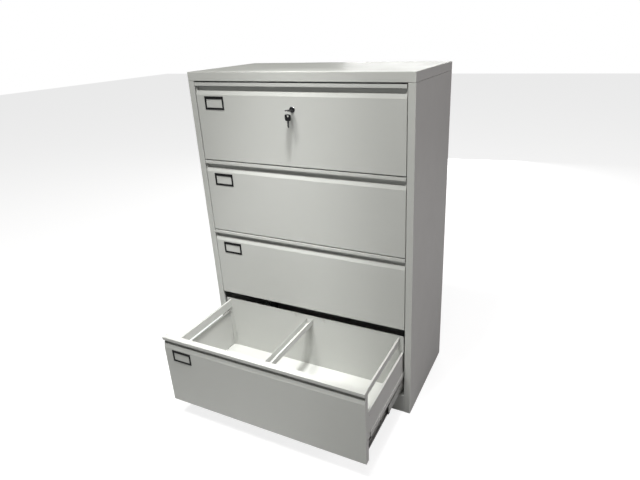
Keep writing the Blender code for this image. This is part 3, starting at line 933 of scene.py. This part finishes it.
makeLock()
makeHead("keyHead", "key_head", "key", "Y")
makeBlade("keyBlade", "key_blade", "key", "Y", False)
makeHead("spareKeyHead", "spare_key_head", "spare_key", "Z")
makeBlade("spareKeyBlade", "spare_key_blade", "spare_key", "Z", True)
makeRing()
print("lock and keys made")

cameraShape = {
    "place": (0.9288, -1.5693, 1.4481),
    "turn": (67.731, 2.186, 25.52),
    "lens": 28.09,
    "shift": (-0.0304, -0.0101),
    "sensor": 36,
    "nearClip": 0.05,
}


def makeCamera():
    data = bpy.data.cameras.new("camera")
    data.lens = cameraShape["lens"]
    data.sensor_width = cameraShape["sensor"]
    data.shift_x, data.shift_y = cameraShape["shift"]
    data.clip_start = cameraShape["nearClip"]
    camera = bpy.data.objects.new("camera", data)
    camera.location = cameraShape["place"]
    camera.rotation_euler = [math.radians(turn) for turn in cameraShape["turn"]]
    bpy.context.scene.collection.objects.link(camera)
    bpy.context.scene.camera = camera


lightShape = {
    "ambient": 0.05,
    "ambientColour": (1.0, 1.0, 1.0, 1),
    "backdrop": 1.0,
    "panels": {  # place, aim, width, watts, colour
        "highKey": ((-0.5, -2.3, 6.0), (0, 0, 0.6), 0.7, 240, (1.0, 0.995, 0.97)),
        "nearKey": ((0.5, -1.1, 3.2), (0.1, 0, 0.6), 1.4, 31, (1.0, 0.995, 0.97)),
        "frontFill": ((0.9, -4.0, 2.2), (0, 0, 0.9), 1.8, 27, (1.0, 1.0, 1.0)),
        "rightFill": ((4.0, 0.2, 2.0), (0, 0, 0.7), 1.8, 55, (1.0, 0.93, 0.975)),
        "leftFill": ((-4.0, -1.5, 2.0), (0, 0, 0.6), 1.8, 10, (1.0, 1.0, 1.0)),
        "backFill": ((-0.6, 4.0, 1.0), (0, 0, 0.6), 2.0, 80, (1.0, 1.0, 1.0)),
    },
    "spots": {  # place, aim, cone in degrees, watts, softness
        "leftBaySpot": ((0.40, -0.62, 3.0), (-0.24, -0.20, 0.15), 24, 400, 0.15),
        "rightBaySpot": ((0.45, -0.62, 3.0), (0.24, -0.20, 0.15), 15, 110, 0.15),
    },
    "spotBlend": 0.6,
}


def makeLight():
    s = lightShape
    world = bpy.data.worlds.new("world")
    world.use_nodes = True
    tree = world.node_tree
    background = tree.nodes["Background"]
    background.inputs["Color"].default_value = s["ambientColour"]
    path = tree.nodes.new("ShaderNodeLightPath")
    strength = ramp(tree, path.outputs["Is Camera Ray"], 0.0, 1.0, s["ambient"], s["backdrop"])
    tree.links.new(strength, background.inputs["Strength"])
    bpy.context.scene.world = world

    def hang(data, place, aim):
        light = bpy.data.objects.new(data.name, data)
        light.location = place
        light.rotation_euler = (Vector(aim) - Vector(place)).to_track_quat("-Z", "Y").to_euler()
        bpy.context.scene.collection.objects.link(light)

    for name, (place, aim, width, watts, colour) in s["panels"].items():
        data = bpy.data.lights.new(name, "AREA")
        data.size, data.energy, data.color = width, watts, colour
        hang(data, place, aim)
    for name, (place, aim, cone, watts, softness) in s["spots"].items():
        data = bpy.data.lights.new(name, "SPOT")
        data.spot_size, data.spot_blend = math.radians(cone), s["spotBlend"]
        data.energy, data.shadow_soft_size = watts, softness
        hang(data, place, aim)


floorShape = {
    "colour": (0.30, 0.30, 0.30, 1),
    "glow": 0.80,
    "roughness": 0.9,
    "size": 30,
    "drop": 0.5 * mm,
}


def makeFloor():
    restUp()
    bpy.ops.mesh.primitive_plane_add(size=floorShape["size"], location=(0, 0, -floorShape["drop"]))
    floor = bpy.context.object
    floor.name = "floor"
    made = bpy.data.materials.new("paleFloor")
    made.use_nodes = True
    tree = made.node_tree
    shader = tree.nodes["Principled BSDF"]
    shader.inputs["Roughness"].default_value = floorShape["roughness"]
    shader.inputs["Base Color"].default_value = floorShape["colour"]
    shader.inputs["Emission Color"].default_value = (1, 1, 1, 1)
    path = tree.nodes.new("ShaderNodeLightPath")  # seen pale all over, but it throws little light back up
    tree.links.new(ramp(tree, path.outputs["Is Camera Ray"], 0.0, 1.0, 0.0, floorShape["glow"]),
                   shader.inputs["Emission Strength"])
    floor.data.materials.append(made)


makeCamera()
makeLight()
makeFloor()
bpy.context.scene.view_settings.view_transform = "Standard"
